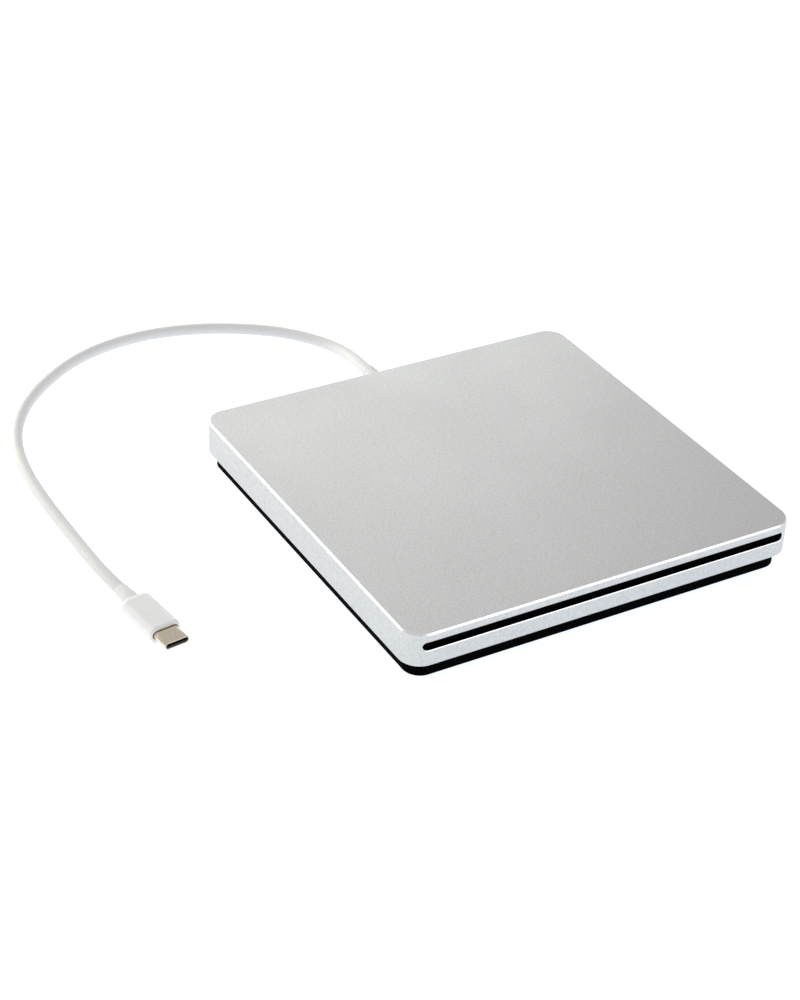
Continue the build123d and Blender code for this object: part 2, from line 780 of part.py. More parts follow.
with BuildPart() as lens_holder:
    with BuildSketch(traverse_plane.offset(holder_bottom)):
        with Locations((lens_x, 0)):
            RectangleRounded(6, 10, 0.8)
    extrude(amount=holder_top - holder_bottom)
    with BuildSketch(traverse_plane.offset(holder_top)):
        with Locations((lens_x, 0)):
            Circle(lens_radius + 0.7)
            Circle(lens_radius + 0.1, mode=Mode.SUBTRACT)
    extrude(amount=0.3)
save(lens_holder, "lens_holder")

with BuildPart() as objective_lens:
    with BuildSketch(traverse_plane.offset(holder_top)):
        with Locations((lens_x, 0)):
            Circle(lens_radius)
    extrude(amount=0.45)
    fillet(objective_lens.faces().sort_by(Axis(traverse_plane.origin, traverse_plane.z_dir))[-1].edges(), 0.4)
save(objective_lens, "objective_lens")

# ---- loading train ------------------------------------------------------------------------
slider_travel = 12.0
slider_front = -42.0
slider_back = 20.0
slider_low = 3.95
slider_high = 8.8
pin_at_wall = Vector(slider_x + slider_sheet / 2, cam_pin_y, pivot_height) - disc_centre
pin_rest = traverse_plane.from_local_coords(
    Vector(pin_at_wall.dot(along), pin_at_wall.dot(across), pivot_height))
cam_low = (pin_rest.Y, pin_rest.Z)
cam_high = (cam_pin_y - slider_travel, pivot_height)
cam_middle = ((cam_low[0] + cam_high[0]) / 2, (cam_low[1] + cam_high[1]) / 2)
cam_length = sqrt((cam_low[0] - cam_high[0]) ** 2 + (cam_low[1] - cam_high[1]) ** 2)
cam_slope = degrees(atan2(cam_high[1] - cam_low[1], cam_high[0] - cam_low[0]))
cam_half_width = 0.78

rack_bottom = 5.8
rack_top = 7.4
rack_teeth = 13
rack_end = -20.0
rack_root = rack_pitch_x - dedendum
rack_first = idler_centre[1] + tooth_pitch / 2 - 10 * tooth_pitch

with BuildPart() as cam_slider:
    with BuildSketch(Plane.YZ.offset(slider_x)):
        with BuildLine():
            Polyline((slider_front, rack_bottom), (-21, rack_bottom), (-21, slider_low),
                     (slider_back, slider_low), (slider_back, slider_high), (slider_front, slider_high),
                     close=True)
        make_face()
        with Locations(cam_middle):
            SlotCenterToCenter(cam_length, 2 * cam_half_width, rotation=cam_slope, mode=Mode.SUBTRACT)
    extrude(amount=slider_sheet)
    with BuildSketch(Plane.XY.offset(rack_bottom)):
        with BuildLine():
            Polyline((slider_x + slider_sheet, slider_front), (rack_root, slider_front),
                     *rack_points(rack_pitch_x, rack_first, rack_teeth),
                     (rack_root, rack_end), (slider_x + slider_sheet, rack_end), close=True)
        make_face()
    extrude(amount=rack_top - rack_bottom)
save(cam_slider, "cam_slider")


def gear_blank(layers, centre, name):
    """A gear made of layers, each a spur outline given by its teeth, phase, bottom and top."""
    with BuildPart() as gear:
        for teeth, phase, bottom, top in layers:
            with BuildSketch(Plane.XY.offset(bottom)):
                with BuildLine():
                    Polyline(*[(centre[0] + x, centre[1] + y) for x, y in gear_points(teeth, phase)],
                             close=True)
                make_face()
            extrude(amount=top - bottom)
        with BuildSketch(Plane.XY.offset(4)):
            with Locations(centre):
                Circle(gear_bore)
        extrude(amount=5, mode=Mode.SUBTRACT)
    save(gear, name)


gear_bottom = 4.1
idler_layers = ((26, wheel_turn, gear_bottom, 5.6), (10, pi, 5.6, rack_top))
wheel_layers = ((10, wheel_turn + pi * 1.1, gear_bottom, rack_bottom), (20, 0.0, rack_bottom, 7.5))
gear_blank(idler_layers, idler_centre, "idler_gear")
gear_blank(wheel_layers, wheel_centre, "worm_wheel")

worm_turns = 6
worm_mesh_y = wheel_centre[1]
thread_low = worm_mesh_y - 3.5 * tooth_pitch
worm_end = 43.8             # the worm's shaft inside the motor, in front of the centre
worm_core_end = 40.2
worm_core_radius = 1.2
motor_back = 43.0
motor_length = 14.0
motor_radius = 4.0
motor_nose = 0.8
worm_thread = Plane(
    origin=(worm_x, thread_low, worm_z), x_dir=(-1, 0, 0), z_dir=(0, 1, 0)
) * Helix(pitch=tooth_pitch, height=worm_turns * tooth_pitch, radius=1.1)
with BuildPart() as loading_worm:
    with BuildSketch(Plane.XZ.offset(worm_end)):
        with Locations((worm_x, worm_z)):
            Circle(journal_radius)
    extrude(amount=-17.2)
    with BuildSketch(Plane.XZ.offset(worm_core_end)):
        with Locations((worm_x, worm_z)):
            Circle(worm_core_radius)
    extrude(amount=-12.4)
    with BuildSketch(Plane(origin=worm_thread @ 0, x_dir=(-1, 0, 0), z_dir=worm_thread % 0)):
        with BuildLine():
            Polyline((0, -0.3), (1.1, -0.12), (1.1, 0.12), (0, 0.3), close=True)
        make_face()
    sweep(path=worm_thread, is_frenet=True)
save(loading_worm, "loading_worm")

with BuildPart() as loading_motor:
    with BuildSketch(Plane.XZ.offset(motor_back)):
        with Locations((worm_x, worm_z)):
            Circle(motor_radius)
            Rectangle(9, 5.6, mode=Mode.INTERSECT)
    extrude(amount=motor_length)
    with BuildSketch(Plane.XZ.offset(motor_back - motor_nose)):
        with Locations((worm_x, worm_z)):
            Circle(1.5)
    extrude(amount=motor_nose)
    with BuildSketch(Plane.XZ.offset(motor_back - 1)):
        with Locations((worm_x, worm_z)):
            Circle(bearing_bore)
    extrude(amount=2.2, mode=Mode.SUBTRACT)
save(loading_motor, "loading_motor")

# ---- disc arms ----------------------------------------------------------------------------
arm_bottom = 10.0
arm_top = 10.8
arm_width = 3.6
tip_top = 14.4
tip_radius = 2.2


def arm(name, tip_name, pivot, length, angle):
    """A flat steel lever with a rounded plastic roller at its tip, at a compass angle in degrees."""
    turn = radians(angle)
    tip = (pivot[0] + length * cos(turn), pivot[1] + length * sin(turn))
    middle = ((pivot[0] + tip[0]) / 2, (pivot[1] + tip[1]) / 2)
    with BuildPart() as lever:
        with BuildSketch(Plane.XY.offset(arm_bottom)):
            with Locations(middle):
                SlotCenterToCenter(length, arm_width, rotation=angle)
            with Locations(pivot):
                Circle(arm_width)
                Circle(rivet_radius + 0.07, mode=Mode.SUBTRACT)
        extrude(amount=arm_top - arm_bottom)
    save(lever, name)
    with BuildPart() as roller:
        with BuildSketch(Plane.XY.offset(arm_top)):
            with Locations(tip):
                Circle(tip_radius)
        extrude(amount=tip_top - arm_top)
        with BuildSketch(Plane.XY.offset(arm_top + 0.9)):
            with Locations(tip):
                Circle(tip_radius + 0.1)
                Circle(tip_radius - 0.6, mode=Mode.SUBTRACT)
        extrude(amount=1.6, mode=Mode.SUBTRACT)
    save(roller, tip_name)


arm("eject_arm", "eject_tip", arm_pivots["eject"], 33.0, 217)
arm("guide_arm_right", "guide_tip_right", arm_pivots["right"], 30.0, 218)
arm("guide_arm_left", "guide_tip_left", arm_pivots["left"], 30.0, 322)

# ---- boards and connectors ----------------------------------------------------------------
board_top = board_bottom + board
bridge_top = bridge_bottom + board
with BuildPart() as drive_board:
    with BuildSketch(Plane.XY.offset(board_bottom)):
        with BuildLine():
            Polyline((-52, -62), (-6, -62), (-6, -38), (-42, -2), (-60, -2), (-60, -52), close=True)
        make_face()
    extrude(amount=board)
save(drive_board, "drive_board")

with BuildPart() as drive_chips:
    with BuildSketch(Plane.XY.offset(board_top)):
        with Locations((-32, -46)):
            Rectangle(14, 14, rotation=45)
        with Locations((-50, -30), (-16, -54)):
            Rectangle(7, 5)
    extrude(amount=1.1)
    with BuildSketch(Plane.XY.offset(board_top)):
        with Locations((-27, -27)):
            Rectangle(12, 3.2, rotation=-45)
    extrude(amount=1.5)
save(drive_chips, "drive_chips")

with BuildPart() as bridge_board:
    with BuildSketch(Plane.XY.offset(bridge_bottom)):
        with Locations((32, bridge_y)):
            Rectangle(47, 5.8)
    extrude(amount=board)
save(bridge_board, "bridge_board")

with BuildPart() as bridge_chip:
    with BuildSketch(Plane.XY.offset(bridge_top)):
        with Locations((20, bridge_y)):
            Rectangle(5, 5)
    extrude(amount=0.9)
save(bridge_chip, "bridge_chip")

with BuildPart() as sata_socket:
    with BuildSketch(Plane.XY.offset(bridge_top)):
        with Locations((socket_place[0], 61.7)):
            Rectangle(24, 4.4)
    extrude(amount=3.6)
    with BuildSketch(Plane.XZ.offset(-59.4)):
        with Locations(socket_place):
            Rectangle(20.4, 1.4)
    extrude(amount=-2.6, mode=Mode.SUBTRACT)
save(sata_socket, "sata_socket")

with BuildPart() as sata_plug:
    with BuildSketch(Plane.XY.offset(floor_top)):
        with Locations((socket_place[0], 55.7)):
            Rectangle(22, 4.0)
    extrude(amount=5.0)
    with BuildSketch(Plane.XZ.offset(-57.0)):
        with Locations(socket_place):
            Rectangle(20, 1.0)
    extrude(amount=-4.6)
save(sata_plug, "sata_plug")

with BuildPart() as pickup_ribbon:
    with BuildSketch(Plane(origin=traverse_plane.origin - traverse_plane.y_dir * -3,
                           x_dir=traverse_plane.x_dir, z_dir=-traverse_plane.y_dir)):
        with BuildLine():
            Polyline((20, 6.2), (33.2, 6.2), (33.2, 5.6), (21, 5.6), (21, 5.7), (33.1, 5.7),
                     (33.1, 6.1), (20, 6.1), close=True)
        make_face()
    extrude(amount=6)
save(pickup_ribbon, "pickup_ribbon")

# ---- cable and plug -----------------------------------------------------------------------
cable_route = [
    (2.0, 84.5, 8.0), (2.7, 92.0, 7.0), (4.4, 100.4, 4.9), (5.0, 109.6, 2.9), (2.6, 119.2, 2.0),
    (-4.5, 129.5, 2.0), (-14.5, 138.0, 2.0), (-29.5, 146.4, 2.0), (-46.5, 151.3, 2.0),
    (-64.5, 151.6, 2.0), (-82.0, 146.6, 2.0), (-98.5, 135.9, 2.0), (-112.5, 122.0, 2.0),
    (-121.8, 105.0, 2.0), (-126.0, 86.0, 2.0), (-127.2, 66.5, 2.0), (-127.1, 47.5, 2.0),
    (-127.1, 31.0, 2.4), (-126.9, 18.0, 3.0), (-125.7, 8.1, 3.0),
]


def bend_radii(points):
    """The largest arc that each corner's two runs allow."""
    radii = []
    for before, here, after in zip(points, points[1:], points[2:]):
        run_in = Vector(*here) - Vector(*before)
        run_out = Vector(*after) - Vector(*here)
        turn = radians(run_in.get_angle(run_out))
        radii.append(0.45 * min(run_in.length, run_out.length) / tan(turn / 2))
    return radii


collar_radius = 3.0
collar_length = 1.6
boot_start_radius = 2.6
boot_end_radius = 2.4
with BuildPart() as cable_strain_relief:
    # flange that holds inside the shell wall
    with BuildSketch(Plane.XZ.offset(-inner_half)):
        with Locations((cable_x, cable_z + 0.3)):
            Rectangle(7.6, 6.2)
    extrude(amount=1.8)
    # neck through the notch
    with BuildSketch(Plane.XZ.offset(-inner_half)):
        with Locations((cable_x, cable_z)):
            Circle(neck_radius)
        with Locations((cable_x, cable_z - 1.0)):
            Rectangle(2 * neck_radius, 2.4)
    extrude(amount=-wall)
    with BuildSketch(Plane.XZ.offset(-width / 2)):
        with Locations((cable_x, cable_z)):
            Circle(collar_radius)
    extrude(amount=-collar_length)
    with BuildSketch(Plane.XZ.offset(-width / 2 - collar_length)):
        with Locations((cable_x, cable_z)):
            Circle(boot_start_radius)
    with BuildSketch(Plane(origin=cable_route[0], z_dir=Vector(*cable_route[1]) - Vector(*cable_route[0]))):
        Circle(boot_end_radius)
    loft()
save(cable_strain_relief, "cable_strain_relief")

leads_route = [(cable_x, 66.2, cable_z), (cable_x, 64.4, cable_z), (3.4, 62.6, cable_z),
               (6.4, 62.2, cable_z), (12.0, 62.4, cable_z)]
with BuildPart() as cable_leads:
    with BuildLine() as leads_path:
        FilletPolyline(*leads_route, radius=bend_radii(leads_route))
    with BuildSketch(Plane(origin=leads_route[0], z_dir=leads_path.line % 0)):
        Circle(0.95)
    sweep()
save(cable_leads, "cable_leads")

cable_radii = bend_radii(cable_route)
print("cable radii", [round(radius, 1) for radius in cable_radii])
with BuildPart() as usb_cable:
    with BuildLine() as cable_path:
        FilletPolyline(*cable_route, radius=cable_radii)
    with BuildSketch(Plane(origin=cable_route[0], z_dir=cable_path.line % 0)):
        Circle(cable_diameter / 2)
    sweep()
cable_length = sum(edge.length for edge in cable_path.edges())
print("cable length", round(cable_length, 2))
print("volume over section times length",
      round(usb_cable.part.volume / (pi * cable_diameter ** 2 / 4 * cable_length), 5))
save(usb_cable, "usb_cable")

plug_direction = (Vector(*cable_route[-1]) - Vector(*cable_route[-2])).normalized()
plug_side = plug_direction.cross(Vector(0, 0, 1))


def plug_plane(distance):
    """Plane square to the plug, at a distance beyond the cable's end."""
    return Plane(origin=Vector(*cable_route[-1]) + plug_direction * distance,
                 x_dir=plug_side, z_dir=plug_direction)


relief_length = 7.6
relief_radii = (2.25, 2.5)
nose_length = 1.6           # sloped end of the overmold on the cable's side
body_size = (10.4, 6.0)
body_radius = 2.4
body_end = relief_length + 18.0
shell_width = 8.25          # USB-C plug shell
shell_height = 2.4
shell_sheet = 0.3
shell_gap = 0.05            # overmold to shell, on each side
shell_start = body_end - 3
shell_reach = 6.6
mouth_start = body_end - 0.5
mouth_size = (6.9, 0.8)
contact_pitch = 0.5
inner_size = (shell_width - 2 * shell_sheet, shell_height - 2 * shell_sheet)

with BuildPart() as plug_strain_relief:
    with BuildSketch(plug_plane(0)):
        Circle(relief_radii[0])
    with BuildSketch(plug_plane(relief_length)):
        Circle(relief_radii[1])
    loft()
save(plug_strain_relief, "plug_strain_relief")

with BuildPart() as plug_body:
    with BuildSketch(plug_plane(relief_length)):
        RectangleRounded(7.4, 5.4, 2.2)
    with BuildSketch(plug_plane(relief_length + nose_length)):
        RectangleRounded(*body_size, body_radius)
    loft()
    with BuildSketch(plug_plane(relief_length + nose_length)):
        RectangleRounded(*body_size, body_radius)
    extrude(amount=body_end - relief_length - nose_length)
    with BuildSketch(plug_plane(shell_start)):
        SlotOverall(shell_width + 2 * shell_gap, shell_height + 2 * shell_gap)
    extrude(amount=4, mode=Mode.SUBTRACT)
save(plug_body, "plug_body")

with BuildPart() as plug_shell:
    with BuildSketch(plug_plane(shell_start)):
        SlotOverall(shell_width, shell_height)
        SlotOverall(*inner_size, mode=Mode.SUBTRACT)
    extrude(amount=body_end - shell_start + shell_reach)
save(plug_shell, "plug_shell")

with BuildPart() as plug_insert:
    with BuildSketch(plug_plane(shell_start)):
        SlotOverall(*inner_size)
    extrude(amount=body_end - shell_start + shell_reach - 0.4)
    with BuildSketch(plug_plane(mouth_start)):
        SlotOverall(*mouth_size)
    extrude(amount=shell_reach + 2, mode=Mode.SUBTRACT)
save(plug_insert, "plug_insert")

with BuildPart() as plug_contacts:
    for side in (-1, 1):
        with BuildSketch(plug_plane(mouth_start)):
            with Locations(*[(contact_pitch * (pin - 5.5), side * 0.33) for pin in range(12)]):
                Rectangle(0.28, 0.14)
        extrude(amount=shell_reach - 1.2)
save(plug_contacts, "plug_contacts")
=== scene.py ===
import json
from math import cos, pi, radians, sin

import bmesh
import bpy
from mathutils import Matrix, Vector


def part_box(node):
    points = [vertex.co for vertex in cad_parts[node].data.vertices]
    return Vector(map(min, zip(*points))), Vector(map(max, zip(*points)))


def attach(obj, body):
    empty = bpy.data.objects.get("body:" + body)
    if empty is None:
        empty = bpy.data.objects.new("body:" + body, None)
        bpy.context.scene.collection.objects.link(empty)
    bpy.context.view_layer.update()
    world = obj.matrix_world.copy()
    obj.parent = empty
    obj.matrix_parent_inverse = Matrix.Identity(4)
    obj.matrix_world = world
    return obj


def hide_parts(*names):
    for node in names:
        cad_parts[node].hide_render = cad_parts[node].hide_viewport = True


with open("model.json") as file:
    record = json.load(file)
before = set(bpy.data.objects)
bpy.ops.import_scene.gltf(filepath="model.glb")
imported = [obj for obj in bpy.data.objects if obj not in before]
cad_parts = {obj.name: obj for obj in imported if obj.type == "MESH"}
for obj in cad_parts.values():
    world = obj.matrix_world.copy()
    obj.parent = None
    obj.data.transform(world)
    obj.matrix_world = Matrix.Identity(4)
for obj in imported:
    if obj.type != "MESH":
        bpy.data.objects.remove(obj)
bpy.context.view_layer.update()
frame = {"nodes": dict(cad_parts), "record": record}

MM = 0.001
UP = Vector((0, 0, 1))


# ---- camera -------------------------------------------------------------------------------
CAMERA_AZIMUTH = radians(-31.17)
CAMERA_ELEVATION = radians(33.06)
CAMERA_ROLL = radians(2.725)
CAMERA_PLACE = Vector((-0.3422, -0.5107, 0.4020))
CAMERA_LENS = 81.19
CAMERA_SENSOR = 36.0
CAMERA_SHIFT = (-0.0005, 0.0005)
CAMERA_NEAREST = 0.01


def make_camera():
    """The camera, rolled a little about its line of sight."""
    back = Vector((
        sin(CAMERA_AZIMUTH) * cos(CAMERA_ELEVATION),
        -cos(CAMERA_AZIMUTH) * cos(CAMERA_ELEVATION),
        sin(CAMERA_ELEVATION),
    ))
    right = (-back).cross(UP).normalized()
    up = right.cross(-back)
    rolled_right = cos(CAMERA_ROLL) * right + sin(CAMERA_ROLL) * up
    rolled_up = cos(CAMERA_ROLL) * up - sin(CAMERA_ROLL) * right
    turn = Matrix((rolled_right, rolled_up, back)).transposed()
    data = bpy.data.cameras.new("camera")
    data.lens = CAMERA_LENS
    data.sensor_width = CAMERA_SENSOR
    data.shift_x, data.shift_y = CAMERA_SHIFT
    data.clip_start = CAMERA_NEAREST
    camera = bpy.data.objects.new("camera", data)
    camera.matrix_world = Matrix.Translation(CAMERA_PLACE) @ turn.to_4x4()
    bpy.context.scene.collection.objects.link(camera)
    bpy.context.scene.camera = camera


make_camera()


# ---- materials ----------------------------------------------------------------------------
# noise keeps mostly between these values
NOISE_LOW, NOISE_HIGH = 0.3, 0.7


class Surface:
    """A node material that starts from one Principled shader and takes procedural detail."""

    def __init__(self, name, color, roughness, metallic=0.0, **sockets):
        self.material = bpy.data.materials.new(name)
        self.material.use_nodes = True
        self.nodes = self.material.node_tree.nodes
        self.links = self.material.node_tree.links
        self.shader = self.nodes["Principled BSDF"]
        self.color = (*color, 1.0)
        self.roughness = roughness
        self.shader.inputs["Base Color"].default_value = self.color
        self.shader.inputs["Roughness"].default_value = roughness
        self.shader.inputs["Metallic"].default_value = metallic
        for socket, value in sockets.items():
            self.shader.inputs[socket.replace("_", " ")].default_value = value
        self.place = self.nodes.new("ShaderNodeTexCoord").outputs["Object"]
        self.bump = None

    def noise(self, scale, detail=4.0, stretch=(1, 1, 1)):
        """Noise over the object's own coordinates; scale is in cells to the metre."""
        spread = self.nodes.new("ShaderNodeMapping")
        spread.inputs["Scale"].default_value = stretch
        self.links.new(self.place, spread.inputs["Vector"])
        texture = self.nodes.new("ShaderNodeTexNoise")
        texture.inputs["Scale"].default_value = scale
        texture.inputs["Detail"].default_value = detail
        self.links.new(spread.outputs["Vector"], texture.inputs["Vector"])
        return texture.outputs["Fac"]

    def cells(self, scale, feature="F1"):
        """A Voronoi pattern, with the scale in cells to the metre."""
        texture = self.nodes.new("ShaderNodeTexVoronoi")
        texture.feature = feature
        texture.inputs["Scale"].default_value = scale
        self.links.new(self.place, texture.inputs["Vector"])
        return texture

    def span(self, value, low, high, start=0.0, end=1.0):
        """The value's range start..end mapped to low..high."""
        remap = self.nodes.new("ShaderNodeMapRange")
        remap.inputs["From Min"].default_value = start
        remap.inputs["From Max"].default_value = end
        remap.inputs["To Min"].default_value = low
        remap.inputs["To Max"].default_value = high
        self.links.new(value, remap.inputs["Value"])
        return remap.outputs["Result"]

    def tint(self, value, darker, lighter):
        """Colour between two multiples of the base colour."""
        low = [channel * darker for channel in self.color[:3]]
        high = [min(1.0, channel * lighter) for channel in self.color[:3]]
        self.paint(value, low, high)

    def paint(self, value, color, other):
        """Colour between two given ones."""
        mix = self.nodes.new("ShaderNodeMix")
        mix.data_type = "RGBA"
        mix.inputs["A"].default_value = (*color, 1.0)
        mix.inputs["B"].default_value = (*other, 1.0)
        self.links.new(value, mix.inputs["Factor"])
        self.links.new(mix.outputs["Result"], self.shader.inputs["Base Color"])

    def rough(self, value, low, high):
        """Roughness that varies with noise."""
        varied = self.span(value, low, high, NOISE_LOW, NOISE_HIGH)
        self.links.new(varied, self.shader.inputs["Roughness"])

    def grain(self, value, darker, lighter):
        """Colour that varies with noise, over its whole spread."""
        self.tint(self.span(value, 0, 1, NOISE_LOW, NOISE_HIGH), darker, lighter)

    def relief(self, value, strength, depth):
        """Bump of a depth in metres; several calls lie on top of each other."""
        bump = self.nodes.new("ShaderNodeBump")
        bump.inputs["Strength"].default_value = strength
        bump.inputs["Distance"].default_value = depth
        self.links.new(value, bump.inputs["Height"])
        if self.bump:
            self.links.new(self.bump, bump.inputs["Normal"])
        self.bump = bump.outputs["Normal"]
        self.links.new(self.bump, self.shader.inputs["Normal"])


def shell_aluminium():
    """Bead-blasted, anodised aluminium: a fine even grain and faint cloudiness."""
    surface = Surface("shell_aluminium", (0.625, 0.635, 0.625), 0.42, 1.0)
    grain = surface.noise(1300, 6)
    cloud = surface.noise(38, 4)
    surface.grain(grain, 0.905, 1.08)
    surface.rough(cloud, 0.40, 0.45)
    surface.relief(surface.noise(5200, 3), 0.22, 0.00004)
    return surface.material


def edge_painted_highlight():
    """The cut edge round the top of the shell, also on its low edge and the slot's rim: its
    near-white colour, lighter than the aluminium, is a painted highlight.
    """
    # near-white metal colour: a painted highlight along the shell's edges
    surface = Surface("edge_painted_highlight", (0.95, 0.95, 0.95), 0.28, 1.0)
    lines = surface.noise(900, 3)
    surface.rough(lines, 0.25, 0.32)
    surface.relief(surface.noise(6000, 2), 0.05, 0.00002)
    return surface.material


def black_plastic():
    """Deep black moulding with a spark texture and hardly any gloss."""
    surface = Surface("black_plastic", (0.001, 0.001, 0.001), 0.6,
                      Specular_IOR_Level=0.006)
    spark = surface.noise(4200, 4)
    surface.tint(surface.noise(60, 3), 0.8, 1.3)
    surface.rough(spark, 0.5, 0.65)
    surface.relief(spark, 0.35, 0.00003)
    return surface.material


def foot_silicone():
    """Dull black silicone with a dusty unevenness."""
    surface = Surface("foot_silicone", (0.012, 0.012, 0.013), 0.72, Specular_IOR_Level=0.3)
    surface.tint(surface.noise(90, 5), 0.75, 1.5)
    surface.rough(surface.noise(300, 4), 0.64, 0.8)
    surface.relief(surface.noise(3000, 5), 0.4, 0.00005)
    return surface.material


def soft_rubber():
    surface = Surface("soft_rubber", (0.03, 0.03, 0.03), 0.7)
    surface.tint(surface.noise(400, 4), 0.7, 1.4)
    surface.relief(surface.noise(2500, 4), 0.3, 0.00004)
    return surface.material


def foam_pad():
    """Dark foam with open pores, their pits coloured darker as painted shade."""
    surface = Surface("foam_pad", (0.10, 0.10, 0.11), 0.9, Sheen_Weight=0.2)
    pores = surface.cells(2600)
    # painted shade: the pores' pits are darker in colour
    surface.tint(surface.span(pores.outputs["Distance"], 0, 1, 0.0, 0.6), 0.45, 1.3)
    surface.relief(pores.outputs["Distance"], 0.8, 0.00015)
    return surface.material


def seal_felt():
    """Black felt, its fibres drawn out upwards."""
    surface = Surface("seal_felt", (0.002, 0.002, 0.002), 0.95, Specular_IOR_Level=0.02)
    fibre = surface.noise(5200, 6, (1, 1, 0.35))
    surface.tint(fibre, 0.4, 1.8)
    surface.relief(fibre, 0.9, 0.0001)
    return surface.material


def steel(name, color, roughness, grain_stretch):
    """Bare steel with a grain that may run one way."""
    surface = Surface(name, color, roughness, 1.0)
    grain = surface.noise(1400, 5, grain_stretch)
    surface.grain(grain, 0.86, 1.08)
    surface.rough(grain, roughness - 0.07, roughness + 0.1)
    surface.relief(grain, 0.15, 0.00003)
    return surface.material


def chassis_steel():
    """Zinc-plated sheet with large faint crystals."""
    surface = Surface("chassis_steel", (0.62, 0.63, 0.64), 0.36, 1.0)
    crystal = surface.cells(240)
    surface.tint(crystal.outputs["Color"], 0.84, 1.06)
    surface.rough(surface.noise(500, 4), 0.3, 0.45)
    surface.relief(surface.noise(2400, 3), 0.12, 0.00003)
    return surface.material


def circuit_board():
    """Green solder mask over faint copper tracks."""
    surface = Surface("circuit_board", (0.01, 0.13, 0.055), 0.32, Coat_Weight=0.4)
    tracks = surface.cells(420, "DISTANCE_TO_EDGE")
    line = surface.span(tracks.outputs["Distance"], 1, 0, 0.06, 0.09)
    surface.paint(line, (0.01, 0.11, 0.045), (0.035, 0.24, 0.10))
    surface.relief(line, 0.3, 0.00004)
    return surface.material


def chip_plastic():
    surface = Surface("chip_plastic", (0.02, 0.02, 0.022), 0.55)
    surface.tint(surface.noise(2400, 4), 0.7, 1.4)
    surface.relief(surface.noise(5000, 4), 0.35, 0.00003)
    return surface.material


def connector_plastic():
    surface = Surface("connector_plastic", (0.016, 0.016, 0.017), 0.42)
    surface.tint(surface.noise(700, 3), 0.8, 1.25)
    surface.relief(surface.noise(3800, 3), 0.2, 0.00002)
    return surface.material


def moulding(name, color, roughness, glow=0.0):
    """Light engineering plastic with a slight translucence and a fine mould texture."""
    surface = Surface(name, color, roughness, Subsurface_Weight=glow, Subsurface_Scale=0.002)
    surface.tint(surface.noise(120, 4), 0.95, 1.03)
    surface.rough(surface.noise(1500, 3), roughness - 0.05, roughness + 0.08)
    surface.relief(surface.noise(4200, 3), 0.12, 0.00002)
    return surface.material


def cable_white():
    """Matt white cable jacket with a fine extrusion grain."""
    surface = Surface("cable_white", (0.75, 0.75, 0.74), 0.5, Specular_IOR_Level=0.35)
    grain = surface.noise(1900, 4)
    surface.grain(grain, 0.955, 1.035)
    surface.rough(surface.noise(900, 4), 0.44, 0.56)
    surface.relief(surface.noise(3600, 4), 0.25, 0.00003)
    return surface.material


def plug_white():
    """Smooth white overmould with a slight gloss."""
    surface = Surface("plug_white", (0.87, 0.87, 0.87), 0.34,
                      Coat_Weight=0.1, Specular_IOR_Level=0.4)
    surface.tint(surface.noise(140, 3), 0.975, 1.01)
    surface.rough(surface.noise(600, 3), 0.26, 0.36)
    surface.relief(surface.noise(3000, 3), 0.08, 0.00002)
    return surface.material


def plug_metal():
    """Nickel-plated shell with fine drawing lines along the plug."""
    surface = Surface("plug_metal", (0.76, 0.67, 0.54), 0.16, 1.0)
    drawn = surface.noise(2600, 4, (1, 0.06, 1))
    surface.grain(drawn, 0.9, 1.08)
    surface.rough(drawn, 0.12, 0.2)
    surface.relief(drawn, 0.12, 0.00002)
    return surface.material


def contact_gold():
    surface = Surface("contact_gold", (0.88, 0.66, 0.30), 0.25, 1.0)
    surface.rough(surface.noise(2500, 3), 0.18, 0.36)
    surface.tint(surface.noise(1500, 3), 0.88, 1.06)
    return surface.material


def ribbon_film():
    """Amber film with the lines of its conductors."""
    surface = Surface("ribbon_film", (0.72, 0.40, 0.10), 0.3, Coat_Weight=0.5)
    lines = surface.noise(2600, 1, (1, 0.02, 0.02))
    surface.tint(surface.span(lines, 0, 1, 0.45, 0.55), 0.75, 1.1)
    surface.rough(lines, 0.25, 0.35)
    return surface.material


def worm_brass():
    """Brass with fine turning marks."""
    surface = Surface("worm_brass", (0.76, 0.58, 0.27), 0.3, 1.0)
    turned = surface.noise(2200, 3, (0.2, 1, 0.2))
    surface.tint(turned, 0.88, 1.08)
    surface.rough(turned, 0.24, 0.38)
    surface.relief(turned, 0.1, 0.00002)
    return surface.material


def pickup_alloy():
    """Rough die-cast body."""
    surface = Surface("pickup_alloy", (0.46, 0.46, 0.47), 0.5, 0.9)
    cast = surface.noise(1600, 6)
    surface.tint(cast, 0.8, 1.15)
    surface.rough(cast, 0.42, 0.62)
    surface.relief(cast, 0.4, 0.00008)
    return surface.material


def lens_glass():
    """Coated objective lens: blue-violet, clear and glossy."""
    surface = Surface("lens_glass", (0.25, 0.34, 0.72), 0.04,
                      Transmission_Weight=0.55, IOR=1.52, Coat_Weight=1.0)
    surface.tint(surface.noise(600, 1), 0.85, 1.1)
    return surface.material


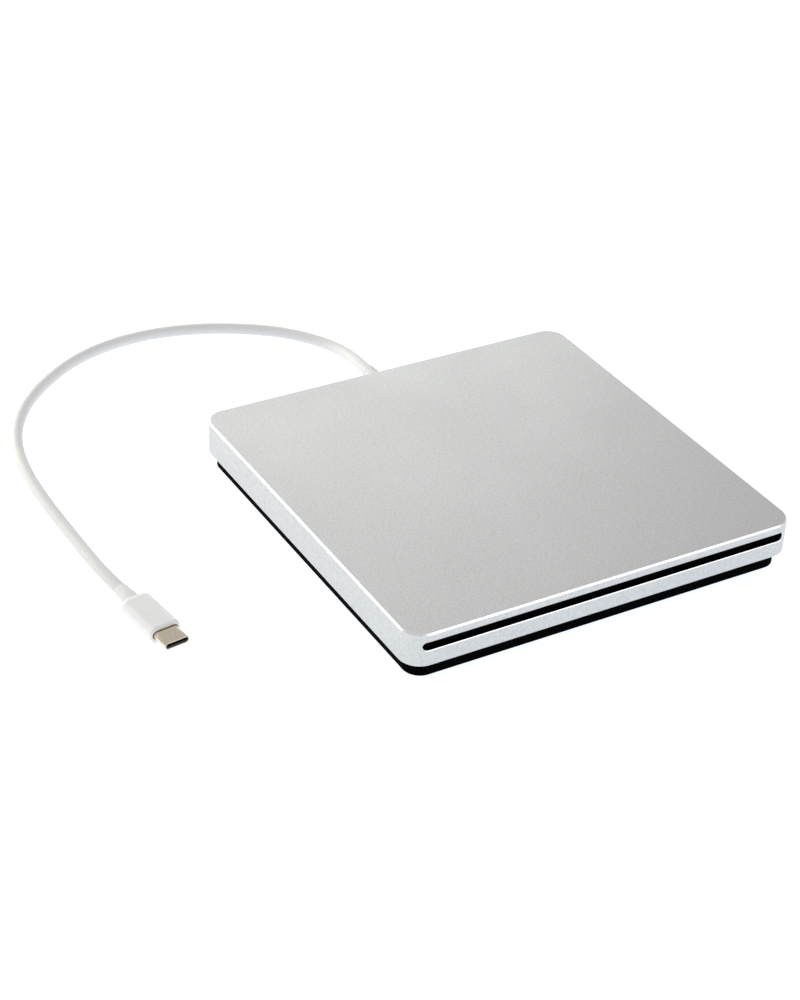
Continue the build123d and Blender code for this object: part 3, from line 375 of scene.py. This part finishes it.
MAKERS = {
    "shell_aluminium": shell_aluminium,
    "black_plastic": black_plastic,
    "foot_silicone": foot_silicone,
    "soft_rubber": soft_rubber,
    "foam_pad": foam_pad,
    "seal_felt": seal_felt,
    "screw_steel": lambda: steel("screw_steel", (0.56, 0.56, 0.57), 0.3, (1, 1, 1)),
    "chassis_steel": chassis_steel,
    "rod_steel": lambda: steel("rod_steel", (0.72, 0.72, 0.74), 0.15, (0.3, 0.3, 1)),
    "motor_steel": lambda: steel("motor_steel", (0.50, 0.50, 0.51), 0.33, (1, 1, 0.2)),
    "circuit_board": circuit_board,
    "chip_plastic": chip_plastic,
    "connector_plastic": connector_plastic,
    "contact_gold": contact_gold,
    "ribbon_film": ribbon_film,
    "gear_plastic": lambda: moulding("gear_plastic", (0.82, 0.81, 0.75), 0.38, 0.2),
    "worm_brass": worm_brass,
    "pickup_alloy": pickup_alloy,
    "lens_glass": lens_glass,
    "tip_plastic": lambda: moulding("tip_plastic", (0.84, 0.84, 0.81), 0.4, 0.15),
    "cable_white": cable_white,
    "plug_white": plug_white,
    "plug_metal": plug_metal,
}
MATERIALS = {name: make() for name, make in MAKERS.items()}
EDGE_PAINTED_HIGHLIGHT = edge_painted_highlight()

for subpart in frame["record"]["subparts"]:
    node = frame["nodes"][subpart["node"]]
    node.data.materials.clear()
    node.data.materials.append(MATERIALS[subpart["material_slot"]])


# ---- mesh helpers -------------------------------------------------------------------------
SAME_POINT = 1e-7


def rounded_loop(half_x, half_y, radius, steps=16):
    """Points in the plane round a rectangle with arcs at its corners, anticlockwise."""
    points = []
    for corner, (side_x, side_y) in enumerate(((1, 1), (-1, 1), (-1, -1), (1, -1))):
        for step in range(steps + 1):
            turn = (corner + step / steps) * pi / 2
            points.append((side_x * (half_x - radius) + radius * cos(turn),
                           side_y * (half_y - radius) + radius * sin(turn)))
    return points


def add_piece(name, data, material, node):
    """Put a finished mesh or curve in the scene in place of its CAD node."""
    piece = bpy.data.objects.new(name, data)
    bpy.context.scene.collection.objects.link(piece)
    data.materials.append(MATERIALS[material])
    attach(piece, "root")
    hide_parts(node)
    return piece


def skin(loops, closed=True):
    """Faces between loops of the same number of points, as a bmesh."""
    mesh = bmesh.new()
    rings = [[mesh.verts.new(point) for point in loop] for loop in loops]
    count = len(rings[0])
    for lower, upper in zip(rings, rings[1:]):
        for step in range(count):
            after = (step + 1) % count
            mesh.faces.new((lower[step], lower[after], upper[after], upper[step]))
    if closed:
        mesh.faces.new(reversed(rings[0]))
        mesh.faces.new(rings[-1])
    bmesh.ops.remove_doubles(mesh, verts=mesh.verts, dist=SAME_POINT)
    bmesh.ops.recalc_face_normals(mesh, faces=mesh.faces)
    return mesh


def smooth(bm, sharp_angle):
    """Smooth shading everywhere except across corners sharper than the angle."""
    for face in bm.faces:
        face.smooth = True
    for edge in bm.edges:
        if len(edge.link_faces) == 2:
            edge.smooth = edge.calc_face_angle(0) < radians(sharp_angle)


def to_mesh(bm, name, sharp_angle):
    """Turn a bmesh into a finished, smoothly shaded mesh."""
    smooth(bm, sharp_angle)
    mesh = bpy.data.meshes.new(name)
    bm.to_mesh(mesh)
    bm.free()
    return mesh


def settle(piece):
    """Apply a piece's modifiers to its mesh."""
    graph = bpy.context.evaluated_depsgraph_get()
    mesh = bpy.data.meshes.new_from_object(piece.evaluated_get(graph))
    piece.modifiers.clear()
    piece.data = mesh


def weigh_normals(piece):
    """Keep flat faces flat to the eye beside their small rounds."""
    modifier = piece.modifiers.new("weighted", "WEIGHTED_NORMAL")
    modifier.keep_sharp = True
    modifier.weight = 80


# ---- shell --------------------------------------------------------------------------------
SHELL_LOW, SHELL_HIGH = (Vector(corner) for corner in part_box("top_shell"))
HALF = SHELL_HIGH.x
CORNER = 7.0 * MM
CORNER_STEPS = 18
WALL = 1.5 * MM
ROOF = 1.2 * MM
# the top edge's profile: inset from the wall, drop below the top, and how far it leans upwards
TOP_EDGE = ((0.0, 0.64, 0), (0.02, 0.58, 22), (0.06, 0.52, 45), (0.38, 0.07, 45),
            (0.43, 0.02, 68), (0.48, 0.0, 90))
TOP_EDGE_DEPTH = 0.64 * MM
# the low edge's profile: inset from the wall, and rise above the bottom
LOW_EDGE = ((0.16, 0.0), (0.03, 0.16), (0.0, 0.2))
LOW_EDGE_HEIGHT = 0.2 * MM
SLOT_WIDTH = 130.2 * MM
SLOT_HEIGHT = 2.9 * MM
SLOT_MIDDLE = 12.5 * MM
SLOT_STEPS = 20
SLOT_MARGIN = 0.05 * MM
SLOT_DEEPEST = 4.0 * MM
SLOT_RIM = 0.2 * MM
SLOT_CUTTER = (5.0 * MM, 8.0 * MM)
EXIT_X = 2.0 * MM
EXIT_Z = 8.0 * MM
NOTCH_RADIUS = 2.35 * MM
NOTCH_STEPS = 24
NOTCH_CUTTER = (4.0 * MM, 4.0 * MM)
# room for rounding where a face or point has to lie exactly on a surface
HAIRLINE = 0.01 * MM
# a face less deep than this under the outer wall is on the wall's outer side
OUTER_DEPTH = 0.8 * MM
# the outer skin's faces have at least this cosine to their exact normals
SKIN_LIKENESS = 0.92
# places in the shell's list of materials, after the aluminium: the edges' painted highlight, then
# the slot's lining
EDGE_HIGHLIGHT_MATERIAL, SLOT_MATERIAL = 1, 2


def shell_loop(inset, z):
    """A level loop round the shell, stepped in from its outer face."""
    outline = rounded_loop(HALF - inset, HALF - inset, CORNER - inset, CORNER_STEPS)
    return [(x, y, z) for x, y in outline]


def prism(outline, low_y, high_y):
    """A cutter that runs along Y, from an outline of (x, z) points."""
    return skin([[(x, y, z) for x, z in outline] for y in (low_y, high_y)])


def slot_outline():
    """The disc slot in the front face, with round ends."""
    radius = SLOT_HEIGHT / 2
    points = []
    for side in (1, -1):
        for step in range(SLOT_STEPS + 1):
            turn = (step / SLOT_STEPS - 0.5) * pi
            points.append((side * (SLOT_WIDTH / 2 - radius + radius * cos(turn)),
                           SLOT_MIDDLE + side * radius * sin(turn)))
    return points


def notch_outline():
    """The cable's notch in the back wall: round at the top and open at the bottom."""
    points = []
    for step in range(NOTCH_STEPS + 1):
        turn = step * pi / NOTCH_STEPS
        points.append((EXIT_X + NOTCH_RADIUS * cos(turn), EXIT_Z + NOTCH_RADIUS * sin(turn)))
    below = SHELL_LOW.z - 1.0 * MM
    return points + [(EXIT_X - NOTCH_RADIUS, below), (EXIT_X + NOTCH_RADIUS, below)]


def cut(piece, cutter_mesh):
    """Take a cutter's volume out of a piece."""
    cutter = bpy.data.objects.new("cutter", bpy.data.meshes.new("cutter"))
    cutter_mesh.to_mesh(cutter.data)
    cutter_mesh.free()
    bpy.context.scene.collection.objects.link(cutter)
    modifier = piece.modifiers.new("cut", "BOOLEAN")
    modifier.operation = "DIFFERENCE"
    modifier.solver = "EXACT"
    modifier.object = cutter
    settle(piece)
    bpy.data.objects.remove(cutter)


def outward(point):
    """The level direction away from the shell at a point, and its depth under the outer wall."""
    reach = HALF - CORNER
    nearest = Vector((max(-reach, min(reach, point.x)), max(-reach, min(reach, point.y))))
    away = point.xy - nearest
    return Vector((*away.normalized(), 0)), CORNER - away.length


def lean(drop):
    """How far the top edge leans upwards, in radians, at a drop below the top face."""
    for (_, low, low_turn), (_, high, high_turn) in zip(TOP_EDGE, TOP_EDGE[1:]):
        if drop > low * MM:
            break
        if drop >= high * MM:
            share = (low * MM - drop) / ((low - high) * MM)
            return radians(low_turn + share * (high_turn - low_turn))
    return 0.0


def skin_normal(point):
    """The outer skin's normal at a point of it above the low edge."""
    turn = lean(SHELL_HIGH.z - point.z)
    return outward(point)[0] * cos(turn) + UP * sin(turn)


def on_skin(face):
    """Whether a face lies on the outer skin, above the low edge."""
    on_top = face.center.z > SHELL_HIGH.z - HAIRLINE
    over_low_edge = face.center.z >= SHELL_LOW.z + LOW_EDGE_HEIGHT + HAIRLINE
    outside = outward(face.center)[1] < OUTER_DEPTH or on_top
    likeness = face.normal.dot(skin_normal(face.center))
    return over_low_edge and outside and likeness >= SKIN_LIKENESS


def true_normals(mesh):
    """The outer skin's exact normals, so that long cut faces shade without marks."""
    normals = [Vector((0, 0, 0))] * len(mesh.loops)
    for face in mesh.polygons:
        if on_skin(face):
            for loop in face.loop_indices:
                normals[loop] = skin_normal(mesh.vertices[mesh.loops[loop].vertex_index].co)
    mesh.normals_split_custom_set(normals)


def in_slot(point):
    """Whether a point lies within the slot's width, height and depth."""
    return (abs(point.z - SLOT_MIDDLE) < SLOT_HEIGHT / 2 + SLOT_MARGIN
            and abs(point.x) < SLOT_WIDTH / 2 + SLOT_MARGIN
            and point.y < -HALF + SLOT_DEEPEST)


def on_edge(centre, normal):
    """Whether a face belongs to the edge round the top or the bottom of the shell, which takes
    the painted highlight.
    """
    depth = outward(centre)[1]
    drop, rise = SHELL_HIGH.z - centre.z, centre.z - SHELL_LOW.z
    on_top_edge = depth < OUTER_DEPTH and 0 < drop < TOP_EDGE_DEPTH + HAIRLINE
    looks_down = normal.z < -0.1
    on_low_edge = depth < 0.2 * MM and rise < LOW_EDGE_HEIGHT - HAIRLINE and looks_down
    return on_top_edge or on_low_edge


def lines_slot(centre, normal):
    """Whether a face is part of the slot's lining."""
    along_slot = abs(normal.y) < 0.5
    return in_slot(centre) and outward(centre)[1] > HAIRLINE and along_slot


def dress_faces(bm):
    """Give the edges their painted highlight and the slot's lining its material, and bevel the
    slot's rim with the painted highlight.
    """
    for face in bm.faces:
        centre = face.calc_center_median()
        if on_edge(centre, face.normal):
            face.material_index = EDGE_HIGHLIGHT_MATERIAL
        elif lines_slot(centre, face.normal):
            face.material_index = SLOT_MATERIAL
    rim = [edge for edge in bm.edges
           if sum(face.material_index == SLOT_MATERIAL for face in edge.link_faces) == 1
           and all(outward(vert.co)[1] < HAIRLINE for vert in edge.verts)]
    rounded = bmesh.ops.bevel(bm, geom=rim, offset=SLOT_RIM, segments=1, affect="EDGES")
    # the slot rim's bevel faces take the painted highlight
    for face in rounded["faces"]:
        face.material_index = EDGE_HIGHLIGHT_MATERIAL


def make_shell():
    """The hollow shell, open below, with its cut edges, its disc slot and the cable's notch."""
    top, bottom = SHELL_HIGH.z, SHELL_LOW.z
    loops = [shell_loop(WALL, top - ROOF), shell_loop(WALL, bottom)]
    loops += [shell_loop(inset * MM, bottom + rise * MM) for inset, rise in LOW_EDGE]
    loops += [shell_loop(inset * MM, top - drop * MM) for inset, drop, turn in TOP_EDGE]
    mesh = bpy.data.meshes.new("shell")
    bm = skin(loops)
    bm.to_mesh(mesh)
    bm.free()
    piece = add_piece("shell", mesh, "shell_aluminium", "top_shell")
    cut(piece, prism(slot_outline(), -HALF - SLOT_CUTTER[0], -HALF + SLOT_CUTTER[1]))
    cut(piece, prism(notch_outline(), HALF - NOTCH_CUTTER[0], HALF + NOTCH_CUTTER[1]))
    bm = bmesh.new()
    bm.from_mesh(piece.data)
    dress_faces(bm)
    smooth(bm, sharp_angle=40)
    bm.to_mesh(piece.data)
    bm.free()
    # the edges' painted highlight, then the slot's black lining
    piece.data.materials.append(EDGE_PAINTED_HIGHLIGHT)
    piece.data.materials.append(MATERIALS["black_plastic"])
    true_normals(piece.data)


make_shell()


# ---- foot pad -----------------------------------------------------------------------------
PAD_CORNER = 4.0
# the pad's lower edge: inset from its side, and height
PAD_EDGE = ((0.9, 0.0), (0.45, 0.02), (0.2, 0.1), (0.05, 0.26), (0.0, 0.45))


def make_foot_pad():
    """The square pad under the base, with a rolled lower edge."""
    high = Vector(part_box("base_pad")[1])
    loops = []
    for inset, z in (*PAD_EDGE, (0.0, high.z / MM)):
        half = high.x - inset * MM
        outline = rounded_loop(half, half, (PAD_CORNER - inset) * MM)
        loops.append([(x, y, z * MM) for x, y in outline])
    mesh = to_mesh(skin(loops), "foot_pad", sharp_angle=40)
    weigh_normals(add_piece("foot_pad", mesh, "foot_silicone", "base_pad"))


make_foot_pad()


# ---- tubes, cable and plug ----------------------------------------------------------------
def tube(centres, radii, steps=40):
    """A round tube through centres, with a radius at each."""
    loops = []
    turns = [2 * pi * step / steps for step in range(steps)]
    side = None
    for number, centre in enumerate(centres):
        before = centres[max(number - 1, 0)]
        after = centres[min(number + 1, len(centres) - 1)]
        ahead = (after - before).normalized()
        side = (UP.cross(ahead) if side is None else side - ahead * side.dot(ahead)).normalized()
        over = ahead.cross(side)
        loops.append([centre + radii[number] * (cos(turn) * side + sin(turn) * over)
                      for turn in turns])
    return skin(loops)


CABLE_ROUTE = [
    (2.0, 84.5, 8.0), (2.7, 92.0, 7.0), (4.4, 100.4, 4.9), (5.0, 109.6, 2.9), (2.6, 119.2, 2.0),
    (-4.5, 129.5, 2.0), (-14.5, 138.0, 2.0), (-29.5, 146.4, 2.0), (-46.5, 151.3, 2.0),
    (-64.5, 151.6, 2.0), (-82.0, 146.6, 2.0), (-98.5, 135.9, 2.0), (-112.5, 122.0, 2.0),
    (-121.8, 105.0, 2.0), (-126.0, 86.0, 2.0), (-127.2, 66.5, 2.0), (-127.1, 47.5, 2.0),
    (-127.1, 31.0, 2.4), (-126.9, 18.0, 3.0), (-125.7, 8.1, 3.0),
]
CABLE_ROUTE = [Vector(point) * MM for point in CABLE_ROUTE]
CABLE_DIAMETER = 4.0 * MM
# the strain relief's part inside the wall, and its profile: distance along it, and radius
RELIEF_IN_WALL = 1.4
RELIEF_PROFILE = (
    (0.0, 2.25), (RELIEF_IN_WALL, 2.25), (1.42, 2.8), (1.6, 2.98), (2.8, 2.98), (3.02, 2.85),
    (3.1, 2.7), (3.3, 2.6), (8.0, 2.5), (15.2, 2.42), (15.8, 2.4), (16.1, 2.32), (16.25, 2.2),
    (16.3, 2.0),
)
# the higher this power, the later the strain relief bends
RELIEF_BEND = 4


def make_strain_relief():
    """A collar at the wall and a plain sleeve that ends in a rounded step over the cable."""
    start = Vector((EXIT_X, HALF - RELIEF_IN_WALL * MM, EXIT_Z))
    end = CABLE_ROUTE[0]
    heading = (CABLE_ROUTE[1] - CABLE_ROUTE[0]).normalized()
    reach = (end - start).length
    total = RELIEF_PROFILE[-1][0]
    centres = []
    for distance, radius in RELIEF_PROFILE:
        share = distance / total
        straight = start + Vector((0, reach * share, 0))
        bent = end - heading * reach * (1 - share)
        centres.append(straight.lerp(bent, share ** RELIEF_BEND))
    radii = [radius * MM for distance, radius in RELIEF_PROFILE]
    mesh = to_mesh(tube(centres, radii), "strain_relief", sharp_angle=50)
    add_piece("strain_relief", mesh, "cable_white", "cable_strain_relief")


def make_cable():
    """The cable, a smooth tube on its route."""
    curve = bpy.data.curves.new("cable", "CURVE")
    curve.dimensions = "3D"
    spline = curve.splines.new("NURBS")
    spline.points.add(len(CABLE_ROUTE) - 1)
    for knot, point in zip(spline.points, CABLE_ROUTE):
        knot.co = (*point, 1.0)
    spline.order_u = 3
    spline.use_endpoint_u = True
    curve.resolution_u = 16
    curve.bevel_depth = CABLE_DIAMETER / 2
    curve.bevel_resolution = 8
    curve.use_fill_caps = True
    return add_piece("cable", curve, "cable_white", "usb_cable")


# the plug, in millimetres from the cable's end, with half widths and half heights
PLUG_START = CABLE_ROUTE[-1]
PLUG_AHEAD = (CABLE_ROUTE[-1] - CABLE_ROUTE[-2]).normalized()
PLUG_SIDE = PLUG_AHEAD.cross(UP)
NECK_END = 7.6
GRIP_END = NECK_END + 18.0
METAL_START = GRIP_END - 3.0
METAL_END = GRIP_END + 6.6
NECK_PROFILE = (
    (-0.3, 1.95), (0.0, 2.15), (0.25, 2.24), (3.6, 2.3), (3.9, 2.38), (4.1, 2.42),
    (NECK_END - 0.5, 2.48), (NECK_END + 0.2, 2.5),
)
GRIP_SIDE, GRIP_UP, GRIP_CORNER = 5.2, 3.0, 2.6
SHOULDER_SIDE, SHOULDER_UP, SHOULDER_CORNER, SHOULDER_LENGTH = 3.0, 2.3, 2.0, 2.0
LIP = 0.45
MOUTH_SIDE, MOUTH_UP, MOUTH_DEPTH = 4.42, 1.5, 1.2
METAL_SIDE, METAL_UP, METAL_THICK = 4.125, 1.2, 0.3
SHOULDER_STEPS, LIP_STEPS = 8, 4


def plug_loop(distance, half_side, half_up, radius, steps=14):
    """A rounded loop square to the plug, in millimetres from the cable's end."""
    centre = PLUG_START + PLUG_AHEAD * distance * MM
    return [centre + PLUG_SIDE * x * MM + UP * y * MM
            for x, y in rounded_loop(half_side, half_up, radius, steps)]


def make_plug_relief():
    """A short plain neck that widens towards the plug, with one shallow step."""
    centres = [PLUG_START + PLUG_AHEAD * distance * MM for distance, radius in NECK_PROFILE]
    radii = [radius * MM for distance, radius in NECK_PROFILE]
    mesh = to_mesh(tube(centres, radii), "plug_relief", sharp_angle=50)
    return add_piece("plug_relief", mesh, "cable_white", "plug_strain_relief")


def make_plug_grip():
    """The overmould: soft shoulders at the back, a grip and an open mouth round the shell."""
    loops = [plug_loop(NECK_END, 2.6, 2.2, 1.9)]
    for step in range(1, SHOULDER_STEPS + 1):
        turn = step / SHOULDER_STEPS * pi / 2
        loops.append(plug_loop(
            NECK_END + SHOULDER_LENGTH * (1 - cos(turn)),
            SHOULDER_SIDE + (GRIP_SIDE - SHOULDER_SIDE) * sin(turn),
            SHOULDER_UP + (GRIP_UP - SHOULDER_UP) * sin(turn),
            SHOULDER_CORNER + (GRIP_CORNER - SHOULDER_CORNER) * sin(turn),
        ))
    loops.append(plug_loop(GRIP_END - 0.5, GRIP_SIDE, GRIP_UP, GRIP_CORNER))
    for step in range(1, LIP_STEPS + 1):
        turn = step / LIP_STEPS * pi / 2
        inset = LIP * (1 - cos(turn))
        loops.append(plug_loop(GRIP_END - LIP * (1 - sin(turn)),
                               GRIP_SIDE - inset, GRIP_UP - inset, GRIP_CORNER - inset))
    loops.append(plug_loop(GRIP_END, MOUTH_SIDE + 0.1, MOUTH_UP + 0.1, MOUTH_UP + 0.05))
    for depth in (0.12, MOUTH_DEPTH):
        loops.append(plug_loop(GRIP_END - depth, MOUTH_SIDE, MOUTH_UP, MOUTH_UP - 0.02))
    mesh = to_mesh(skin(loops), "plug_grip", sharp_angle=38)
    piece = add_piece("plug_grip", mesh, "plug_white", "plug_body")
    weigh_normals(piece)
    return piece


def make_plug_shell():
    """The drawn metal shell, open at both ends, with a rolled lip."""
    loops = []
    for distance, inset in ((METAL_START, 0.0), (METAL_END - 0.16, 0.0), (METAL_END - 0.05, 0.04),
                            (METAL_END, 0.13), (METAL_END - 0.02, 0.22),
                            (METAL_END - 0.12, METAL_THICK), (METAL_START, METAL_THICK)):
        half_up = METAL_UP - inset
        loops.append(plug_loop(distance, METAL_SIDE - inset, half_up, half_up - 0.001, 16))
    mesh = to_mesh(skin(loops, closed=False), "plug_metal_shell", sharp_angle=60)
    return add_piece("plug_metal_shell", mesh, "plug_metal", "plug_shell")


make_strain_relief()
cable = make_cable()
plug_pieces = [make_plug_relief(), make_plug_grip(), make_plug_shell(),
               frame["nodes"]["plug_insert"], frame["nodes"]["plug_contacts"]]


# ---- stage and light ----------------------------------------------------------------------
FLOOR_REACH = 4.0
# the floor lies just under the object, so that their faces don't coincide
FLOOR_GAP = 0.03 * MM


def make_floor():
    """The pale floor, and a collection of it alone for the light that only fills the floor."""
    corners = [(-1, -1), (1, -1), (1, 1), (-1, 1)]
    mesh = bpy.data.meshes.new("floor")
    points = [(x * FLOOR_REACH, y * FLOOR_REACH, 0) for x, y in corners]
    mesh.from_pydata(points, [], [(0, 1, 2, 3)])
    floor = bpy.data.objects.new("floor", mesh)
    floor.location.z = -FLOOR_GAP
    surface = Surface("floor_white", (0.32, 0.32, 0.32), 0.9, Specular_IOR_Level=0.0,
                      Emission_Color=(0.85, 0.90, 0.99, 1.0), Emission_Strength=1.0)
    surface.tint(surface.noise(3, 2), 0.995, 1.005)
    mesh.materials.append(surface.material)
    bpy.context.scene.collection.objects.link(floor)
    only_floor = bpy.data.collections.new("only_floor")
    only_floor.objects.link(floor)
    return only_floor


def area_light(name, place, target, size, power, color=(1, 1, 1), only=None):
    """A soft rectangular light that the camera doesn't see, and that may light one collection."""
    data = bpy.data.lights.new(name, "AREA")
    data.shape = "RECTANGLE"
    data.size, data.size_y = size
    data.energy = power
    data.color = color
    light = bpy.data.objects.new(name, data)
    light.location = place
    light.rotation_euler = (Vector(target) - Vector(place)).to_track_quat("-Z", "Y").to_euler()
    light.visible_camera = False
    if only:
        light.light_linking.receiver_collection = only
    bpy.context.scene.collection.objects.link(light)


def make_world():
    """An even white surround, as in a light tent."""
    world = bpy.data.worlds.new("studio")
    world.use_nodes = True
    background = world.node_tree.nodes["Background"]
    background.inputs["Color"].default_value = (1.0, 1.0, 1.0, 1.0)
    background.inputs["Strength"].default_value = 0.6
    bpy.context.scene.world = world


only_floor = make_floor()
make_world()
area_light("back_soft", (0.30, 1.215, 0.505), (0, 0, 0), (1.2, 0.6), 2.7)
area_light("front_soft", (0.43, -0.545, 0.72), (0, 0, 0), (0.7, 0.5), 1.2)
area_light("left_strip", (-0.31, 0.51, 0.09), (-0.07, 0, 0.01), (0.5, 0.16), 1.35,
           (1.0, 0.93, 0.82))
area_light("left_soft", (-0.6, 0.79, 0.477), (0, 0, 0), (0.7, 0.6), 1.7, (1.0, 0.98, 0.95))
area_light("left_fill", (-0.17, 0.02, 0.16), (-0.165, 0.02, 0), (0.12, 0.12), 0.13,
           (1.0, 0.78, 0.3), only_floor)

bpy.context.scene.view_settings.view_transform = "Standard"
